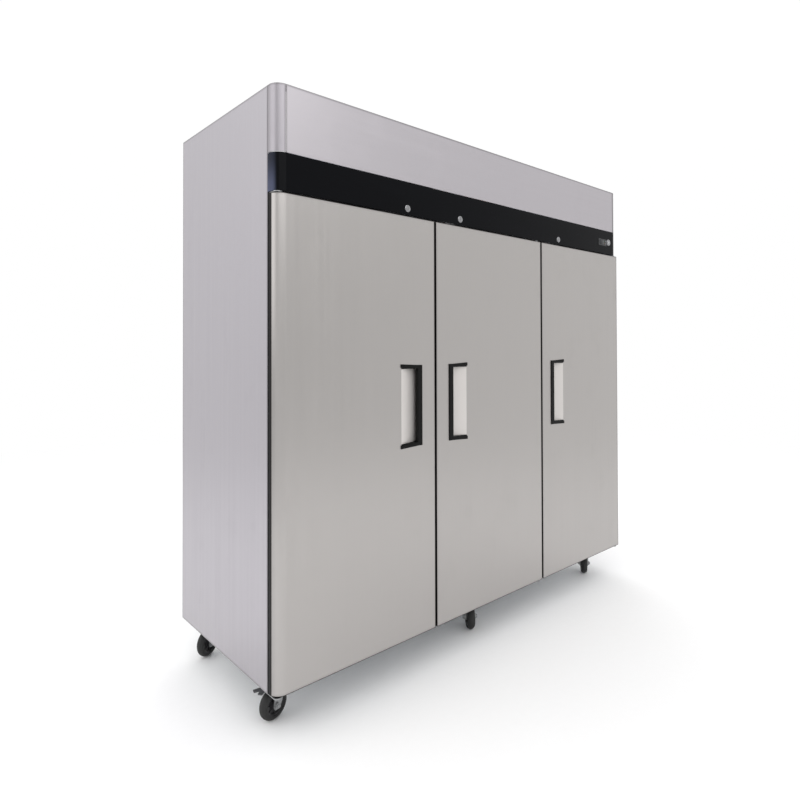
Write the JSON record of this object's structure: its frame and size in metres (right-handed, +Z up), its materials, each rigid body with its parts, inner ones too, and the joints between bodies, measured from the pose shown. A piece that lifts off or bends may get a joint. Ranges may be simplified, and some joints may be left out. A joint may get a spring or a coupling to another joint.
{
  "type": "reach in refrigerator",
  "caption": "Upright stainless reach-in refrigerator with side-by-side solid doors, recessed pulls, top-mounted refrigeration unit and swivel casters.",
  "frame": {"origin": "on the floor, under the middle of the object's box", "axes": "+X to the right as seen from the front, +Y from the doors to the back, +Z up"},
  "size_m": [1.975, 0.771, 2],
  "materials": {
    "stainless_side": "satin",
    "stainless_door": "satin",
    "stainless_fascia": "satin",
    "stainless_inside": "satin",
    "galvanised": "satin",
    "insulation_foam": "matte",
    "inner_panel": "satin",
    "gasket_rubber": "matte",
    "grip_plastic": "satin",
    "band_plastic": "gloss",
    "controller_plastic": "satin",
    "key_rubber": "matte",
    "chrome": "polished",
    "zinc_steel": "satin",
    "coated_wire": "satin",
    "coil_fins": "satin",
    "fan_plastic": "satin",
    "lamp_lens": "satin",
    "compressor_black": "satin",
    "shroud_steel": "satin",
    "copper": "satin",
    "box_grey": "satin",
    "caster_tread": "matte",
    "pedal_steel": "satin"
  },
  "bodies": {
    "cabinet": {"left_side_panel": "stainless_side", "right_side_panel": "stainless_side", "back_panel": "galvanised", "base_pan": "galvanised", "machine_deck": "galvanised", "insulation_panels": "insulation_foam", "inner_liner": "stainless_inside", "mullion_posts": "stainless_inside", "control_band": "band_plastic", "fascia_panel": "stainless_fascia", "fascia_corner_caps": "stainless_fascia", "controller_case": "controller_plastic", "hinge_brackets": "zinc_steel", "wire_shelves": "coated_wire", "shelf_pilasters": "stainless_inside", "evaporator_cover": "stainless_inside", "evaporator_fan_motors": "fan_plastic", "evaporator_coil": "coil_fins", "interior_lamps": "lamp_lens", "compressor": "compressor_black", "condenser_coil": "coil_fins", "condenser_shroud": "shroud_steel", "refrigerant_pipes": "copper", "electrical_box": "box_grey", "caster_plates": "zinc_steel"},
    "left_door": {"left_door_skin": "stainless_door", "left_door_core": "inner_panel", "left_door_gasket": "gasket_rubber", "left_door_grip": "grip_plastic"},
    "middle_door": {"middle_door_skin": "stainless_door", "middle_door_core": "inner_panel", "middle_door_gasket": "gasket_rubber", "middle_door_grip": "grip_plastic"},
    "right_door": {"right_door_skin": "stainless_door", "right_door_core": "inner_panel", "right_door_gasket": "gasket_rubber", "right_door_grip": "grip_plastic"},
    "left_lock": {"left_door_lock": "chrome"},
    "middle_lock": {"middle_door_lock": "chrome"},
    "right_lock": {"right_door_lock": "chrome"},
    "key_up": {"controller_key_up": "key_rubber"},
    "key_down": {"controller_key_down": "key_rubber"},
    "power_button": {"power_button": "chrome"},
    "left_evaporator_fan": {"left_evaporator_fan": "fan_plastic"},
    "right_evaporator_fan": {"right_evaporator_fan": "fan_plastic"},
    "condenser_fan": {"condenser_fan": "fan_plastic"},
    "front_left_swivel": {"front_left_caster_fork": "zinc_steel"},
    "front_left_wheel": {"front_left_caster_wheel": "caster_tread"},
    "front_left_pedal": {"front_left_brake_pedal": "pedal_steel"},
    "front_middle_swivel": {"front_middle_caster_fork": "zinc_steel"},
    "front_middle_wheel": {"front_middle_caster_wheel": "caster_tread"},
    "front_right_swivel": {"front_right_caster_fork": "zinc_steel"},
    "front_right_wheel": {"front_right_caster_wheel": "caster_tread"},
    "front_right_pedal": {"front_right_brake_pedal": "pedal_steel"},
    "rear_left_swivel": {"rear_left_caster_fork": "zinc_steel"},
    "rear_left_wheel": {"rear_left_caster_wheel": "caster_tread"},
    "rear_middle_swivel": {"rear_middle_caster_fork": "zinc_steel"},
    "rear_middle_wheel": {"rear_middle_caster_wheel": "caster_tread"},
    "rear_right_swivel": {"rear_right_caster_fork": "zinc_steel"},
    "rear_right_wheel": {"rear_right_caster_wheel": "caster_tread"}
  },
  "joints": [
    {"name": "left_door_hinge", "type": "hinge", "parent": "cabinet", "child": "left_door", "pos_m": [-0.9695, -0.3635, 0.9], "axis": [0, 0, -1], "range_deg": [0, 105]},
    {"name": "middle_door_hinge", "type": "hinge", "parent": "cabinet", "child": "middle_door", "pos_m": [0.30667, -0.3635, 0.9], "axis": [0, 0, 1], "range_deg": [0, 105]},
    {"name": "right_door_hinge", "type": "hinge", "parent": "cabinet", "child": "right_door", "pos_m": [0.9695, -0.3635, 0.9], "axis": [0, 0, 1], "range_deg": [0, 105]},
    {"name": "left_lock_turn", "type": "hinge", "parent": "cabinet", "child": "left_lock", "pos_m": [-0.46467, -0.3765, 1.695], "axis": [0, -1, 0], "range_deg": [0, 90]},
    {"name": "middle_lock_turn", "type": "hinge", "parent": "cabinet", "child": "middle_lock", "pos_m": [-0.19367, -0.3765, 1.695], "axis": [0, 1, 0], "range_deg": [0, 90]},
    {"name": "right_lock_turn", "type": "hinge", "parent": "cabinet", "child": "right_lock", "pos_m": [0.46467, -0.3765, 1.695], "axis": [0, 1, 0], "range_deg": [0, 90]},
    {"name": "key_up_press", "type": "slide", "parent": "cabinet", "child": "key_up", "axis": [0, 1, 0], "range_m": [0, 0.0008], "stiffness_N_per_m": 400},
    {"name": "key_down_press", "type": "slide", "parent": "cabinet", "child": "key_down", "axis": [0, 1, 0], "range_m": [0, 0.0008], "stiffness_N_per_m": 400},
    {"name": "power_button_press", "type": "slide", "parent": "cabinet", "child": "power_button", "axis": [0, 1, 0], "range_m": [0, 0.0028], "stiffness_N_per_m": 600},
    {"name": "left_evaporator_fan_spin", "type": "hinge", "parent": "cabinet", "child": "left_evaporator_fan", "pos_m": [-0.22, -0.0305, 1.533], "axis": [0, 1, 0], "continuous": true},
    {"name": "right_evaporator_fan_spin", "type": "hinge", "parent": "cabinet", "child": "right_evaporator_fan", "pos_m": [0.22, -0.0305, 1.533], "axis": [0, 1, 0], "continuous": true},
    {"name": "condenser_fan_spin", "type": "hinge", "parent": "cabinet", "child": "condenser_fan", "pos_m": [-0.22, -0.0515, 1.8262], "axis": [1, 0, 0], "continuous": true},
    {"name": "front_left_caster_swivel", "type": "hinge", "parent": "cabinet", "child": "front_left_swivel", "pos_m": [-0.8875, -0.2315, 0.126], "axis": [0, 0, 1], "continuous": true},
    {"name": "front_left_wheel_roll", "type": "hinge", "parent": "front_left_swivel", "child": "front_left_wheel", "pos_m": [-0.9188, -0.23815, 0.05], "axis": [0.2079, -0.9781, 0], "continuous": true},
    {"name": "front_left_brake_press", "type": "hinge", "parent": "front_left_swivel", "child": "front_left_pedal", "pos_m": [-0.92271, -0.23899, 0.1125], "axis": [0.2079, -0.9781, 0], "range_deg": [0, 7], "stiffness_Nm_per_rad": 2},
    {"name": "front_middle_caster_swivel", "type": "hinge", "parent": "cabinet", "child": "front_middle_swivel", "pos_m": [0, -0.2315, 0.126], "axis": [0, 0, 1], "continuous": true},
    {"name": "front_middle_wheel_roll", "type": "hinge", "parent": "front_middle_swivel", "child": "front_middle_wheel", "pos_m": [-0.01835, -0.25771, 0.05], "axis": [0.8192, -0.5736, 0], "continuous": true},
    {"name": "front_right_caster_swivel", "type": "hinge", "parent": "cabinet", "child": "front_right_swivel", "pos_m": [0.8875, -0.2315, 0.126], "axis": [0, 0, 1], "continuous": true},
    {"name": "front_right_wheel_roll", "type": "hinge", "parent": "front_right_swivel", "child": "front_right_wheel", "pos_m": [0.86228, -0.2512, 0.05], "axis": [0.6157, -0.788, 0], "continuous": true},
    {"name": "front_right_brake_press", "type": "hinge", "parent": "front_right_swivel", "child": "front_right_pedal", "pos_m": [0.85913, -0.25366, 0.1125], "axis": [0.6157, -0.788, 0], "range_deg": [0, 7], "stiffness_Nm_per_rad": 2},
    {"name": "rear_left_caster_swivel", "type": "hinge", "parent": "cabinet", "child": "rear_left_swivel", "pos_m": [-0.8875, 0.3105, 0.126], "axis": [0, 0, 1], "continuous": true},
    {"name": "rear_left_wheel_roll", "type": "hinge", "parent": "rear_left_swivel", "child": "rear_left_wheel", "pos_m": [-0.91575, 0.29548, 0.05], "axis": [0.4695, -0.8829, 0], "continuous": true},
    {"name": "rear_middle_caster_swivel", "type": "hinge", "parent": "cabinet", "child": "rear_middle_swivel", "pos_m": [0, 0.3105, 0.126], "axis": [0, 0, 1], "continuous": true},
    {"name": "rear_middle_wheel_roll", "type": "hinge", "parent": "rear_middle_swivel", "child": "rear_middle_wheel", "pos_m": [-0.02057, 0.33501, 0.05], "axis": [-0.766, -0.6428, 0], "continuous": true},
    {"name": "rear_right_caster_swivel", "type": "hinge", "parent": "cabinet", "child": "rear_right_swivel", "pos_m": [0.8875, 0.3105, 0.126], "axis": [0, 0, 1], "continuous": true},
    {"name": "rear_right_wheel_roll", "type": "hinge", "parent": "rear_right_swivel", "child": "rear_right_wheel", "pos_m": [0.90252, 0.33875, 0.05], "axis": [-0.8829, 0.4695, 0], "continuous": true}
  ]
}
